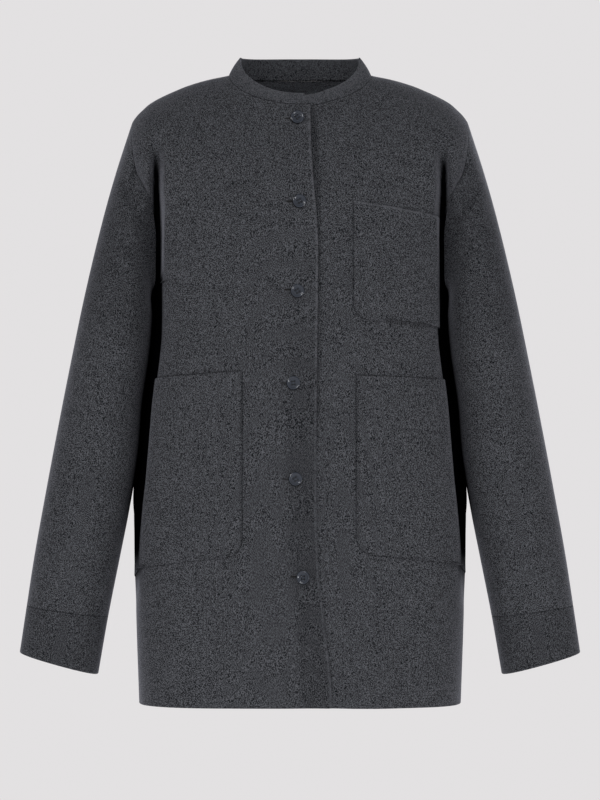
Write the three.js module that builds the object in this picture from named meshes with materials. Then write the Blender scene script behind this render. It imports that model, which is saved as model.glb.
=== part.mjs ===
// Short wool coat with a band collar, patch pockets and drop shoulders, filled out as if worn.
// Millimetres. The front faces -Y, +X is the wearer's left and +Z is up.
// The origin lies midway between the two neck points, where the shoulders carry the coat.
import * as THREE from 'three';

// Cloth and seams
const CLOTH = 2.4;
const POCKET_CLOTH = 2.0;
const SEAM_GAP = 0.3;
const SEWN_GAP = 0.6;
const BAND_GAP_SHARE = 2.6;
const FOLD_PULL_MOST = 3.6;
const SAME_POINT = 0.02;

// Heights and widths that the cut is drawn from
const HEM_Z = -735;
const UNDERARM_Z = -245;
const NECK_HALF = 84;
const FRONT_NECK_DROP = 38.5;
const BACK_NECK_DROP = 1.5;
const NECK_CURVE = 1.1;
const TIP_X = 199;
const FRONT_SQUARENESS = 3.4;
const BACK_SQUARENESS = 2.8;
const SLEEVE_ROUNDNESS = 2.3;

// How the shoulder turns over: fall needed before the cloth hangs upright, near the neck and at the tip
const TURN = { frontNeck: 200, frontTip: 95, backNeck: 60, backTip: 85 };

// Band collar
const BAND = {
  topHalf: 71, topFront: 62, topBack: 58,
  frontZ: -23.5, sideZ: 22.5, backZ: 24.7, swell: 1.2,
};
const BAND_END_SLANT = { turn: 4.3, columns: 3 };

// Closure: the wearer's right front laps over the left one
const UNDER_EDGE_X = -25;
const LAP_SET = 3.1;
const LAP_RAMP = { start: 1.5, length: 27 };

// Side folds, by their depth forward or back of the side seam: the side seam's ridge, the tuck behind
// the front corner and the back's swing behind the arm; then the groove between chest and arm
const SIDE_RIDGE_HALF = 45;
const TUCK = { at: 42, half: 42 };
const SWING = { at: 40, half: 40 };
const GROOVE_X = 171;
const GROOVE_HALF = 13;
const BACK_GROOVE_SHARE = 0.8;

// Buttons
const BUTTON = { radius: 8, thick: 2.6, holeRadius: 1, holeOffset: 2.1, clearance: 0.3 };
const BUTTON_SIDES = { rim: 22, hole: 6 };

// Grid steps
const LOW_ROWS = 13;
const HIGH_ROWS = 12;
const NECK_COLUMNS = 9;
const SHOULDER_COLUMNS = 7;
const BACK_NECK_COLUMNS = 12;
const SLEEVE_RINGS = 18;
const CUFF_RINGS = 3;
const BAND_ROWS = 3;
const SLEEVE_FADE = 0.18;
const SLEEVE_CROWDING = 1.3;
const TOP_BLEND_START = 0.2;
const CUFF_END_T = 1.1;

// Trunk sections: half width, how far the side seam stands out from it, depth forward and back of the
// side seams, tuck behind the front corner, swing of the back behind the arm, groove beside the arm
const TRUNK = [
  { z: -735, half: 189, side: 0, front: 128, back: 122, tuck: 0, swing: 0, groove: 0 },
  { z: -629, half: 192.5, side: 0, front: 130, back: 121, tuck: 0, swing: 0, groove: 0 },
  { z: -610, half: 193.5, side: 0, front: 130, back: 120.5, tuck: 2, swing: 0, groove: 0 },
  { z: -575, half: 194.5, side: 0.5, front: 130, back: 119.5, tuck: 5, swing: 0, groove: 0 },
  { z: -540, half: 193.5, side: 2, front: 130, back: 118, tuck: 9, swing: 0, groove: 0 },
  { z: -505, half: 191.5, side: 4, front: 129, back: 117, tuck: 14, swing: 2, groove: 0 },
  { z: -475, half: 188.5, side: 2, front: 128.5, back: 116, tuck: 16, swing: 7, groove: 0 },
  { z: -434, half: 185, side: 0, front: 128, back: 114, tuck: 17, swing: 9, groove: 0 },
  { z: -381, half: 180.5, side: 0, front: 127, back: 112, tuck: 17, swing: 10, groove: 0 },
  { z: -322, half: 172.5, side: 0, front: 124.8, back: 110.5, tuck: 12, swing: 8, groove: 0 },
  { z: -300, half: 170.5, side: 0, front: 124, back: 110, tuck: 10, swing: 6, groove: 0 },
  { z: -257, half: 168.6, side: 0, front: 122.6, back: 109.2, tuck: 6.5, swing: 2.5, groove: 0 },
  { z: -245, half: 171.6, side: 0, front: 122.2, back: 109, tuck: 4, swing: 1.5, groove: 0 },
  { z: -215, half: 173, side: 0, front: 121, back: 108, tuck: 3, swing: 0, groove: 2 },
  { z: -190, half: 174.5, side: 0, front: 120, back: 108, tuck: 3, swing: 0, groove: 12 },
  { z: -165, half: 177.5, side: 0, front: 119, back: 107, tuck: 1, swing: 0, groove: 18 },
  { z: -150, half: 180, side: 0, front: 118, back: 107, tuck: 0, swing: 0, groove: 20 },
  { z: -117, half: 195, side: 0, front: 118, back: 106, tuck: 0, swing: 0, groove: 25 },
  { z: -95, half: 205, side: 0, front: 117, back: 105, tuck: 0, swing: 0, groove: 14 },
  { z: -72, half: 212, side: 0, front: 116, back: 105, tuck: 0, swing: 0, groove: 0 },
  { z: -58, half: 216, side: 0, front: 116, back: 105, tuck: 0, swing: 0, groove: 0 },
  { z: 12, half: 222, side: 0, front: 114, back: 104, tuck: 0, swing: 0, groove: 0 },
];

// Shoulder line seen from the front
const SHOULDER = [
  { x: 0, z: 12 },
  { x: 60, z: 8 },
  { x: 84, z: 1.5 },
  { x: 108, z: -3.5 },
  { x: 132, z: -10.6 },
  { x: 150, z: -18 },
  { x: 165, z: -25 },
  { x: 177, z: -32 },
  { x: 185, z: -39 },
  { x: 192, z: -46 },
  { x: 197, z: -53 },
  { x: 199, z: -58 },
];

// Armhole seam seen from the front, from the underarm to the shoulder tip
const ARMHOLE = [
  { z: -245, x: 171.6 },
  { z: -215, x: 171.6 },
  { z: -190, x: 171.5 },
  { z: -165, x: 172 },
  { z: -150, x: 174 },
  { z: -133, x: 181 },
  { z: -117, x: 190 },
  { z: -95, x: 194.8 },
  { z: -75, x: 197 },
  { z: -58, x: 199 },
];

// Edge of the front that laps over
const LAP_EDGE = [
  { z: -735, x: 36.5 },
  { z: -692, x: 33.9 },
  { z: -657, x: 29.3 },
  { z: -625, x: 25.9 },
  { z: -588, x: 21.3 },
  { z: -542, x: 19 },
  { z: -450, x: 17.8 },
  { z: -312, x: 19 },
  { z: -200, x: 19.7 },
  { z: -104, x: 17.9 },
  { z: -56, x: 15.6 },
  { z: -37, x: 11 },
];

// Sleeve from the armhole (t 0) to the cuff seam (t 1) and the cuff's end (t 1.1): outer and inner line,
// half depth, and how far the arm hangs forward
const SLEEVE = [
  { t: 0, outX: 199, outZ: -58, inX: 171.6, inZ: -245, depth: 62, forward: 0 },
  { t: 0.1, outX: 217, outZ: -114, inX: 175, inZ: -259, depth: 68, forward: 0 },
  { t: 0.2, outX: 233, outZ: -171, inX: 173.4, inZ: -285, depth: 70, forward: 0 },
  { t: 0.35, outX: 253, outZ: -255, inX: 177, inZ: -330, depth: 68, forward: 3 },
  { t: 0.5, outX: 270.5, outZ: -340, inX: 185, inZ: -385, depth: 64, forward: 6 },
  { t: 0.65, outX: 287, outZ: -425, inX: 190.2, inZ: -446, depth: 60, forward: 9.5 },
  { t: 0.8, outX: 302.5, outZ: -509, inX: 202, inZ: -516, depth: 56, forward: 13 },
  { t: 0.9, outX: 312.5, outZ: -566, inX: 213.5, inZ: -574, depth: 54, forward: 15 },
  { t: 1, outX: 321, outZ: -622, inX: 225.5, inZ: -635, depth: 52, forward: 17 },
  { t: 1.1, outX: 329, outZ: -676, inX: 237, inZ: -701.5, depth: 50, forward: 19 },
];

// Soft flutes that grow towards the hem: angle round the trunk, half width, height where they begin
const FLUTES = [
  { angle: 4, half: 11, rise: -4, from: -540 },
  { angle: 24, half: 12, rise: 5, from: -560 },
  { angle: -38, half: 14, rise: 3, from: -590 },
  { angle: 122, half: 15, rise: 5, from: -430 },
  { angle: 147, half: 14, rise: -4, from: -400 },
  { angle: 176, half: 17, rise: 5, from: -380 },
  { angle: -152, half: 14, rise: -5, from: -420 },
  { angle: -126, half: 15, rise: 5, from: -450 },
];

// Patch pockets: front panel, inner and outer edge (the hip pockets run to the side seam), top and
// bottom heights at both edges, corner radius
const POCKETS = [
  {
    name: 'chest_pocket', panel: 'under', columns: 14, clearance: 1.8, innerX: 61.6, outerX: 163,
    topIn: -152, topOut: -170, bottomIn: -289, bottomOut: -297, corner: 16,
  },
  {
    name: 'hip_pocket_right', panel: 'over', columns: 12, clearance: 1.3, innerX: 67,
    topIn: -348, topOut: -364, bottomIn: -562, bottomOut: -589, corner: 15,
  },
  {
    name: 'hip_pocket_left', panel: 'under', columns: 12, clearance: 1.3, innerX: 65,
    topIn: -353, topOut: -362, bottomIn: -559, bottomOut: -585, corner: 15,
  },
];
const POCKET_COLUMN_LEAST = 0.2;
const POCKET_ROWS = 9;
const CORNER_STEPS = [0, 0.08, 0.33, 1];
const SIDE_SEAM_SHARE = 0.5;
const HALVINGS = 30;
const PLACE_ROUNDS = 6;

// Button centres, top to bottom
const BUTTONS = [
  { x: -2.9, z: -54.5 },
  { x: -0.6, z: -152 },
  { x: -2.9, z: -255.5 },
  { x: -7.5, z: -361.5 },
  { x: -5.2, z: -472 },
  { x: 4, z: -585 },
];

const wool = new THREE.MeshStandardMaterial({ color: 0x3b3c40, roughness: 0.95, metalness: 0 });
const bandWool = new THREE.MeshStandardMaterial({ color: 0x404145, roughness: 0.95, metalness: 0 });
const horn = new THREE.MeshStandardMaterial({ color: 0x2a303b, roughness: 0.3, metalness: 0 });

const radians = THREE.MathUtils.degToRad;
const mix = THREE.MathUtils.lerp;

// 1 at the middle, falling smoothly to 0 at a distance of 1
function bell(distance) {
  return Math.abs(distance) < 1 ? 0.5 + 0.5 * Math.cos(Math.PI * distance) : 0;
}

// From 0 to 1 with level ends
function ease(share) {
  const s = THREE.MathUtils.clamp(share, 0, 1);
  return s * s * (3 - 2 * s);
}

// Smooth curve through one column of a table, flat beyond its ends
function along(table, key, column, at) {
  const rows = table[0][key] < table[table.length - 1][key] ? table : [...table].reverse();
  if (at <= rows[0][key]) return rows[0][column];
  const last = rows.length - 1;
  if (at >= rows[last][key]) return rows[last][column];
  const i = rows.findIndex((row) => row[key] > at) - 1;
  const slope = (k) => {
    const a = rows[Math.max(k - 1, 0)];
    const b = rows[Math.min(k + 1, last)];
    return (b[column] - a[column]) / (b[key] - a[key]);
  };
  const step = rows[i + 1][key] - rows[i][key];
  const s = (at - rows[i][key]) / step;
  const rise = rows[i + 1][column] - rows[i][column];
  const bend = s * (1 - s) * ((1 - s) * (slope(i) * step - rise) - s * (slope(i + 1) * step - rise));
  return rows[i][column] + s * rise + bend;
}

// Angle round the trunk of a point x from the middle, on the plain section at height z
function angleAt(x, z, squareness) {
  const share = THREE.MathUtils.clamp(Math.abs(x) / along(TRUNK, 'z', 'half', z), 0, 1);
  const rest = (1 - share ** squareness) ** (1 / squareness);
  return Math.sign(x) * THREE.MathUtils.radToDeg(Math.atan2(share, rest));
}

// Point of the outer face: angle 0 is the middle of the front, 90 the wearer's left side, 180 the back
function trunkPoint(angle, z) {
  const turned = radians(angle);
  const isFront = Math.abs(angle) <= 90;
  const power = isFront ? FRONT_SQUARENESS : BACK_SQUARENESS;
  const across = Math.abs(Math.sin(turned));
  const ahead = Math.abs(Math.cos(turned));
  const size = (across ** power + ahead ** power) ** (1 / power);
  const side = Math.sign(Math.sin(turned));
  let x = along(TRUNK, 'z', 'half', z) * across / size;
  const nearTip = ease((x - NECK_HALF) / (TIP_X - NECK_HALF));
  const turn = isFront
    ? mix(TURN.frontNeck, TURN.frontTip, nearTip)
    : mix(TURN.backNeck, TURN.backTip, nearTip);
  const fall = THREE.MathUtils.clamp((along(SHOULDER, 'x', 'z', x) - z) / turn, 0, 1);
  const over = Math.sqrt(1 - (1 - fall) ** 2);
  let reach = along(TRUNK, 'z', isFront ? 'front' : 'back', z) * ahead / size * over;
  reach -= along(TRUNK, 'z', 'groove', z) * bell((x - GROOVE_X) / GROOVE_HALF)
    * (isFront ? 1 : BACK_GROOVE_SHARE);
  x += along(TRUNK, 'z', 'side', z) * bell(reach / SIDE_RIDGE_HALF);
  x += isFront
    ? -along(TRUNK, 'z', 'tuck', z) * bell((reach - TUCK.at) / TUCK.half)
    : along(TRUNK, 'z', 'swing', z) * bell((reach - SWING.at) / SWING.half);
  let swell = 1;
  for (const flute of FLUTES) {
    const grown = ease((flute.from - z) / (flute.from - HEM_Z));
    const away = THREE.MathUtils.euclideanModulo(angle - flute.angle + 180, 360) - 180;
    swell += flute.rise * grown * bell(away / flute.half) / Math.hypot(x, reach);
  }
  return new THREE.Vector3(side * x * swell, (isFront ? -reach : reach) * swell, z);
}

// Neckline seam: turn 0 is the middle of the front, 90 the wearer's left neck point, 180 the back
function necklineZ(turn) {
  const toFront = Math.cos(radians(turn));
  const neckPointZ = along(SHOULDER, 'x', 'z', NECK_HALF);
  const drop = toFront > 0 ? FRONT_NECK_DROP : BACK_NECK_DROP;
  return neckPointZ - drop * Math.abs(toFront) ** NECK_CURVE;
}

// Top end of a panel's column: along the neckline first, then along the shoulder to its tip
function panelTop(column, neckColumns, firstTurn) {
  if (column <= neckColumns) {
    const crown = column / neckColumns;
    const turn = mix(firstTurn, 90, crown);
    return { x: NECK_HALF * Math.sin(radians(turn)), z: necklineZ(turn), crown, tip: 0 };
  }
  const share = (column - neckColumns) / SHOULDER_COLUMNS;
  const x = mix(NECK_HALF, TIP_X, Math.sin(share * Math.PI / 2));
  return { x, z: along(SHOULDER, 'x', 'z', x), crown: 1, tip: share };
}

// Height of a row in a column: even below the underarm, then closer together where the cloth turns over
function rowZ(row, top) {
  if (row <= LOW_ROWS) return mix(HEM_Z, UNDERARM_Z, row / LOW_ROWS);
  const q = (row - LOW_ROWS) / HIGH_ROWS;
  const crowned = mix(q, Math.sin(q * Math.PI / 2), top.crown);
  const share = mix(crowned, (1 - Math.cos(q * Math.PI)) / 2, top.tip ** 2);
  return mix(UNDERARM_Z, top.z, share);
}

// Half a panel as rows of points, from its middle edge (edgeX) to the side seam and armhole.
// side is 1 on the wearer's left and -1 on the right, where edgeX and firstTurn count the other way
function halfPanel(side, isFront, neckColumns, edgeX, firstTurn) {
  const power = isFront ? FRONT_SQUARENESS : BACK_SQUARENESS;
  const columns = neckColumns + SHOULDER_COLUMNS;
  const rows = [];
  for (let row = 0; row <= LOW_ROWS + HIGH_ROWS; row++) {
    const toTop = ease(((row - LOW_ROWS) / HIGH_ROWS - TOP_BLEND_START) / (1 - TOP_BLEND_START));
    const line = [];
    for (let column = 0; column <= columns; column++) {
      const top = panelTop(column, neckColumns, firstTurn);
      const z = rowZ(row, top);
      const sideAngle = z <= UNDERARM_Z ? 90 : angleAt(along(ARMHOLE, 'z', 'x', z), z, power);
      const even = mix(angleAt(edgeX(z), z, power), sideAngle, column / columns);
      const angle = mix(even, angleAt(top.x, top.z, power), column < columns ? toTop : 0);
      line.push(trunkPoint(side * (isFront ? angle : 180 - angle), z));
    }
    rows.push(line);
  }
  return rows;
}

// How far the under front is set in at x, so that the lap lies over it
function lapSet(x, z) {
  return LAP_SET * (1 - ease((x - along(LAP_EDGE, 'z', 'x', z) - LAP_RAMP.start) / LAP_RAMP.length));
}

// Outward directions of a grid of points, from their neighbours; around closes the last column on the first
function outwardOf(rows, around) {
  const last = rows[0].length - 1;
  const field = rows.map((line, i) => line.map((p, j) => {
    const above = rows[Math.min(i + 1, rows.length - 1)][j];
    const below = rows[Math.max(i - 1, 0)][j];
    const next = line[around ? (j + 1) % (last + 1) : Math.min(j + 1, last)];
    const before = line[around ? (j + last) % (last + 1) : Math.max(j - 1, 0)];
    return above.clone().sub(below).cross(next.clone().sub(before)).normalize();
  }));
  const i = Math.floor(rows.length / 2);
  const j = Math.floor(last / 2);
  const middle = new THREE.Vector3(0, 0, rows[i][j].z);
  if (around) {
    middle.set(0, 0, 0);
    rows[i].forEach((p) => middle.addScaledVector(p, 1 / rows[i].length));
  }
  const facesOut = field[i][j].dot(rows[i][j].clone().sub(middle)) > 0;
  if (!facesOut) field.forEach((line) => line.forEach((n) => n.negate()));
  return field;
}

// Closed wall: outer rows, the same rows moved in by the thickness, and rims along the free edges
function wallGeometry(rows, outward, thickness, around) {
  const high = rows.length;
  const wide = rows[0].length;
  const positions = [];
  for (const depth of [0, thickness]) {
    rows.forEach((line, i) => line.forEach((p, j) => {
      positions.push(...p.clone().addScaledVector(outward[i][j], -depth).toArray());
    }));
  }
  const outer = (i, j) => i * wide + j % wide;
  const inner = (i, j) => high * wide + outer(i, j);
  const index = [];
  const quad = (a, b, c, d) => index.push(a, b, c, a, c, d);
  const spans = around ? wide : wide - 1;
  for (let j = 0; j < spans; j++) {
    for (let i = 0; i < high - 1; i++) {
      quad(outer(i, j), outer(i, j + 1), outer(i + 1, j + 1), outer(i + 1, j));
      quad(inner(i, j), inner(i + 1, j), inner(i + 1, j + 1), inner(i, j + 1));
    }
    quad(inner(0, j), inner(0, j + 1), outer(0, j + 1), outer(0, j));
    quad(outer(high - 1, j), outer(high - 1, j + 1), inner(high - 1, j + 1), inner(high - 1, j));
  }
  if (!around) {
    for (let i = 0; i < high - 1; i++) {
      quad(inner(i, 0), outer(i, 0), outer(i + 1, 0), inner(i + 1, 0));
      quad(outer(i, wide - 1), inner(i, wide - 1), inner(i + 1, wide - 1), outer(i + 1, wide - 1));
    }
  }
  let volume = 0;
  const corner = (k) => new THREE.Vector3().fromArray(positions, 3 * k);
  for (let k = 0; k < index.length; k += 3) {
    volume += corner(index[k]).dot(corner(index[k + 1]).cross(corner(index[k + 2])));
  }
  if (volume < 0) index.reverse();
  const geometry = new THREE.BufferGeometry();
  geometry.setAttribute('position', new THREE.Float32BufferAttribute(positions, 3));
  geometry.setIndex(index);
  return geometry;
}

// Directions and gaps at the seams: where the trunk's pieces meet a sleeve, cuff or collar, both share
// the direction of their thickness, and a sharper fold between them is opened further
function shareSeams(pieces) {
  const meetings = new Map();
  const key = (p) => p.toArray().map((value) => Math.round(value / SAME_POINT)).join();
  for (const piece of pieces) {
    piece.rows.forEach((line, i) => line.forEach((p, j) => {
      const meeting = meetings.get(key(p)) ?? { trunk: new THREE.Vector3(), sewn: new THREE.Vector3() };
      (piece.sewn ? meeting.sewn : meeting.trunk).add(piece.outward[i][j]);
      meetings.set(key(p), meeting);
    }));
  }
  for (const piece of pieces) {
    const at = (p) => meetings.get(key(p));
    const sum = ({ trunk, sewn }) => trunk.clone().normalize().add(sewn.clone().normalize());
    piece.outward = piece.rows.map((line) => line.map((p) => sum(at(p)).normalize()));
    piece.pull = piece.rows.map((line) => line.map((p) => {
      const meeting = at(p);
      const isFold = meeting.trunk.length() > 0 && meeting.sewn.length() > 0;
      return isFold ? Math.min(SEWN_GAP / sum(meeting).length(), FOLD_PULL_MOST) : SEAM_GAP / 2;
    }));
  }
}

// Moves a seam edge back towards its own piece
function openSeam(piece, edge) {
  const { rows, pull } = piece;
  const high = rows.length - 1;
  const wide = rows[0].length - 1;
  const draw = (i, j, k, l) => {
    rows[i][j].add(rows[k][l].clone().sub(rows[i][j]).setLength(pull[i][j] * (piece.looser ?? 1)));
  };
  if (edge === 'top') rows[high].forEach((_, j) => draw(high, j, high - 1, j));
  if (edge === 'bottom') rows[0].forEach((_, j) => draw(0, j, 1, j));
  if (edge === 'first') rows.forEach((_, i) => draw(i, 0, i, 1));
  if (edge === 'last') rows.forEach((_, i) => draw(i, wide, i, wide - 1));
}

// Turn round the neckline of a point x from the middle
function edgeTurn(x) {
  return THREE.MathUtils.radToDeg(Math.asin(x / NECK_HALF));
}

// Both fronts: the right one lies over the left one, which is set in beneath it
function frontPanels() {
  const lapX = (z) => -along(LAP_EDGE, 'z', 'x', z);
  const over = halfPanel(-1, true, NECK_COLUMNS, lapX, edgeTurn(lapX(necklineZ(0))));
  const under = halfPanel(1, true, NECK_COLUMNS, () => UNDER_EDGE_X, edgeTurn(UNDER_EDGE_X));
  const outward = outwardOf(under, false);
  under.forEach((line, i) => line.forEach((p, j) => p.addScaledVector(outward[i][j], -lapSet(p.x, p.z))));
  return { over, under };
}

function backPanel() {
  const halves = [-1, 1].map((side) => halfPanel(side, false, BACK_NECK_COLUMNS / 2, () => 0, 180));
  return halves[0].map((line, i) => [...line.slice(1).reverse(), ...halves[1][i]]);
}

// Sleeve section at t: w turns from the outer line (0) over the front to the inner line (180) and the back
function sleevePoint(side, t, w) {
  const at = (column) => along(SLEEVE, 't', column, t);
  const across = Math.cos(radians(w));
  const ahead = Math.sin(radians(w));
  const size = (Math.abs(across) ** SLEEVE_ROUNDNESS + Math.abs(ahead) ** SLEEVE_ROUNDNESS)
    ** (1 / SLEEVE_ROUNDNESS);
  const share = 0.5 + 0.5 * across / size;
  return new THREE.Vector3(
    side * mix(at('inX'), at('outX'), share),
    -at('forward') - at('depth') * ahead / size,
    mix(at('inZ'), at('outZ'), share),
  );
}

// Rings of a sleeve that start on the armhole of the panels and ease into the plain section
function sleeveRows(side, front, back) {
  const backEdge = side > 0 ? back[0].length - 1 : 0;
  const frontEdge = front[0].length - 1;
  const armhole = [];
  for (let k = 0; k < 2 * HIGH_ROWS; k++) {
    const onFront = k <= HIGH_ROWS;
    const row = LOW_ROWS + Math.abs(HIGH_ROWS - k);
    armhole.push(onFront ? front[row][frontEdge] : back[row][backEdge]);
  }
  const shift = armhole.map((p, k) => p.clone().sub(sleevePoint(side, 0, 180 * k / HIGH_ROWS)));
  return Array.from({ length: SLEEVE_RINGS + 1 }, (_, i) => {
    const t = (i / SLEEVE_RINGS) ** SLEEVE_CROWDING;
    const fade = 1 - ease(t / SLEEVE_FADE);
    return shift.map((s, k) => sleevePoint(side, t, 180 * k / HIGH_ROWS).addScaledVector(s, fade));
  });
}

function cuffRows(side) {
  return Array.from({ length: CUFF_RINGS + 1 }, (_, i) => {
    const t = mix(1, CUFF_END_T, i / CUFF_RINGS);
    return Array.from({ length: 2 * HIGH_ROWS }, (_, k) => sleevePoint(side, t, 180 * k / HIGH_ROWS));
  });
}

// Band collar: one strip from the end that laps over, round the back, to the end beneath
function bandRows(over, back, under) {
  const highest = over.length - 1;
  const backEnds = [SHOULDER_COLUMNS, SHOULDER_COLUMNS + BACK_NECK_COLUMNS];
  const seam = [
    ...over[highest].slice(0, NECK_COLUMNS + 1),
    ...back[highest].slice(backEnds[0] + 1, backEnds[1]),
    ...under[highest].slice(0, NECK_COLUMNS + 1).reverse(),
  ];
  const lapTurn = edgeTurn(along(LAP_EDGE, 'z', 'x', necklineZ(0)));
  const rightTurns = seam.map((_, k) => {
    if (k <= NECK_COLUMNS) return mix(lapTurn, -90, k / NECK_COLUMNS);
    const past = k - NECK_COLUMNS;
    if (past <= BACK_NECK_COLUMNS) return mix(-90, -270, past / BACK_NECK_COLUMNS);
    return mix(-270, -360 + edgeTurn(UNDER_EDGE_X), (past - BACK_NECK_COLUMNS) / NECK_COLUMNS);
  });
  const rim = rightTurns.map((turn, k) => {
    const slant = BAND_END_SLANT.turn * Math.max(0, 1 - k / BAND_END_SLANT.columns);
    const a = radians(turn - slant);
    const toFront = Math.cos(a);
    const z = toFront > 0
      ? mix(BAND.sideZ, BAND.frontZ, toFront)
      : mix(BAND.sideZ, BAND.backZ, toFront ** 2);
    const reachOut = toFront > 0 ? BAND.topFront : BAND.topBack;
    return new THREE.Vector3(BAND.topHalf * Math.sin(a), -toFront * reachOut, z);
  });
  const rows = Array.from({ length: BAND_ROWS + 1 }, (_, i) => seam.map((p, k) => {
    const share = i / BAND_ROWS;
    const out = new THREE.Vector3(p.x, p.y, 0).setLength(BAND.swell * Math.sin(Math.PI * share));
    return p.clone().lerp(rim[k], share).add(out);
  }));
  const outward = outwardOf(rows, false);
  const isUnder = (k) => k > seam.length - 1 - NECK_COLUMNS;
  return rows.map((line, i) => line.map((p, k) => {
    const set = i > 0 && isUnder(k) ? lapSet(seam[k].x, seam[k].z) : 0;
    return p.addScaledVector(outward[i][k], -set);
  }));
}

// Value of a grid between its points, on the two facets of each cell
function onGrid(field, row, column) {
  const i = Math.min(Math.floor(row), field.length - 2);
  const j = Math.min(Math.floor(column), field[0].length - 2);
  const up = row - i;
  const across = column - j;
  const corner = across >= up ? field[i][j + 1] : field[i + 1][j];
  const [first, second] = across >= up ? [across, up] : [up, across];
  const far = field[i + 1][j + 1];
  return field[i][j].clone().multiplyScalar(1 - first)
    .addScaledVector(corner, first - second)
    .addScaledVector(far, second);
}

// Place between 0 and last where a rising value reaches what is wanted, by halving
function reach(last, value, wanted) {
  let low = 0;
  let high = last;
  for (let step = 0; step < HALVINGS; step++) {
    const middle = (low + high) / 2;
    if (value(middle) < wanted) low = middle;
    else high = middle;
  }
  return (low + high) / 2;
}

function rowOn(panel, column, z) {
  return reach(panel.length - 1, (row) => onGrid(panel, row, column).z, z);
}

// Row and column on a front panel of the point at distance x from the middle, on its own side, and height z
function placeOn(panel, x, z) {
  const last = panel[0].length - 1;
  const side = Math.sign(panel[0][last].x);
  const at = { row: 0, column: last / 2 };
  for (let round = 0; round < PLACE_ROUNDS; round++) {
    at.row = rowOn(panel, at.column, z);
    at.column = reach(last, (column) => side * onGrid(panel, at.row, column).x, x);
  }
  at.row = rowOn(panel, at.column, z);
  return at;
}

// Patch pocket laid on the facets of its front: the inner corner at the bottom is rounded
function pocketPiece(pocket, panel) {
  const outward = outwardOf(panel, false);
  const points = [];
  const directions = [];
  for (let row = 0; row <= POCKET_ROWS; row++) {
    const line = [];
    const out = [];
    for (let k = 0; k <= pocket.columns; k++) {
      const share = k / pocket.columns;
      const bottom = mix(pocket.bottomIn, pocket.bottomOut, share);
      const top = mix(pocket.topIn, pocket.topOut, share);
      const last = CORNER_STEPS.length - 1;
      const rise = row <= last
        ? pocket.corner * CORNER_STEPS[row]
        : mix(pocket.corner, top - bottom, (row - last) / (POCKET_ROWS - last));
      const toArc = Math.max(0, pocket.corner - rise);
      const cut = pocket.corner - Math.sqrt(pocket.corner ** 2 - toArc ** 2);
      const inner = placeOn(panel, pocket.innerX + cut, bottom + rise);
      const outer = pocket.outerX
        ? placeOn(panel, pocket.outerX, bottom + rise)
        : { column: panel[0].length - 1 - SIDE_SEAM_SHARE, row: inner.row };
      const onColumns = !pocket.outerX && k > 0 && k < pocket.columns;
      const column = onColumns
        ? Math.max(panel[0].length - 1 - pocket.columns + k, inner.column + POCKET_COLUMN_LEAST * k)
        : mix(inner.column, outer.column, share);
      const at = rowOn(panel, column, bottom + rise);
      const direction = onGrid(outward, at, column).normalize();
      line.push(onGrid(panel, at, column).addScaledVector(direction, pocket.clearance + POCKET_CLOTH));
      out.push(direction);
    }
    points.push(line);
    directions.push(out);
  }
  return { name: pocket.name, rows: points, outward: directions };
}

function circle(radius, x, y, count) {
  return Array.from({ length: count }, (_, k) => {
    const turn = 2 * Math.PI * k / count;
    return new THREE.Vector2(x + radius * Math.cos(turn), y + radius * Math.sin(turn));
  });
}

// Round button with four holes, flat on the front and facing out
function buttonMesh(place, number, panel) {
  const face = new THREE.Shape(circle(BUTTON.radius, 0, 0, BUTTON_SIDES.rim));
  for (const [across, up] of [[1, 1], [-1, 1], [-1, -1], [1, -1]]) {
    const offset = BUTTON.holeOffset;
    const hole = circle(BUTTON.holeRadius, across * offset, up * offset, BUTTON_SIDES.hole);
    face.holes.push(new THREE.Path(hole));
  }
  const geometry = new THREE.ExtrudeGeometry(face, { depth: BUTTON.thick, bevelEnabled: false });
  const mesh = new THREE.Mesh(geometry, horn);
  const { row, column } = placeOn(panel, -place.x, place.z);
  const out = onGrid(outwardOf(panel, false), row, column).normalize();
  mesh.name = `button_${number}`;
  mesh.position.copy(onGrid(panel, row, column)).addScaledVector(out, BUTTON.clearance);
  mesh.quaternion.setFromUnitVectors(new THREE.Vector3(0, 0, 1), out);
  return mesh;
}

function build() {
  const coat = new THREE.Group();
  const panels = frontPanels();
  const { over, under } = panels;
  const back = backPanel();
  const tube = { around: true, sewn: true };
  const sleeveSeams = ['bottom', 'top'];
  const seams = [
    { name: 'front_right', rows: over, open: ['top', 'last'] },
    { name: 'front_left', rows: under, open: ['top', 'last'] },
    { name: 'back', rows: back, open: ['top', 'first', 'last'] },
    { name: 'sleeve_right', rows: sleeveRows(-1, over, back), ...tube, open: sleeveSeams },
    { name: 'sleeve_left', rows: sleeveRows(1, under, back), ...tube, open: sleeveSeams },
    { name: 'cuff_right', rows: cuffRows(-1), ...tube, open: ['bottom'] },
    { name: 'cuff_left', rows: cuffRows(1), ...tube, open: ['bottom'] },
    { name: 'collar_band', rows: bandRows(over, back, under), sewn: true, open: ['bottom'],
      looser: BAND_GAP_SHARE },
  ];
  for (const piece of seams) {
    piece.rows = piece.rows.map((line) => line.map((p) => p.clone()));
    piece.outward = outwardOf(piece.rows, piece.around);
  }
  shareSeams(seams);
  for (const piece of seams) {
    piece.open.forEach((edge) => openSeam(piece, edge));
    const geometry = wallGeometry(piece.rows, piece.outward, CLOTH, piece.around);
    const mesh = new THREE.Mesh(geometry, piece.name === 'collar_band' ? bandWool : wool);
    mesh.name = piece.name;
    coat.add(mesh);
  }
  for (const pocket of POCKETS.map((each) => pocketPiece(each, panels[each.panel]))) {
    const mesh = new THREE.Mesh(wallGeometry(pocket.rows, pocket.outward, POCKET_CLOTH, false), wool);
    mesh.name = pocket.name;
    coat.add(mesh);
  }
  BUTTONS.forEach((place, i) => coat.add(buttonMesh(place, i + 1, over)));
  return coat;
}

export default build();
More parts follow.
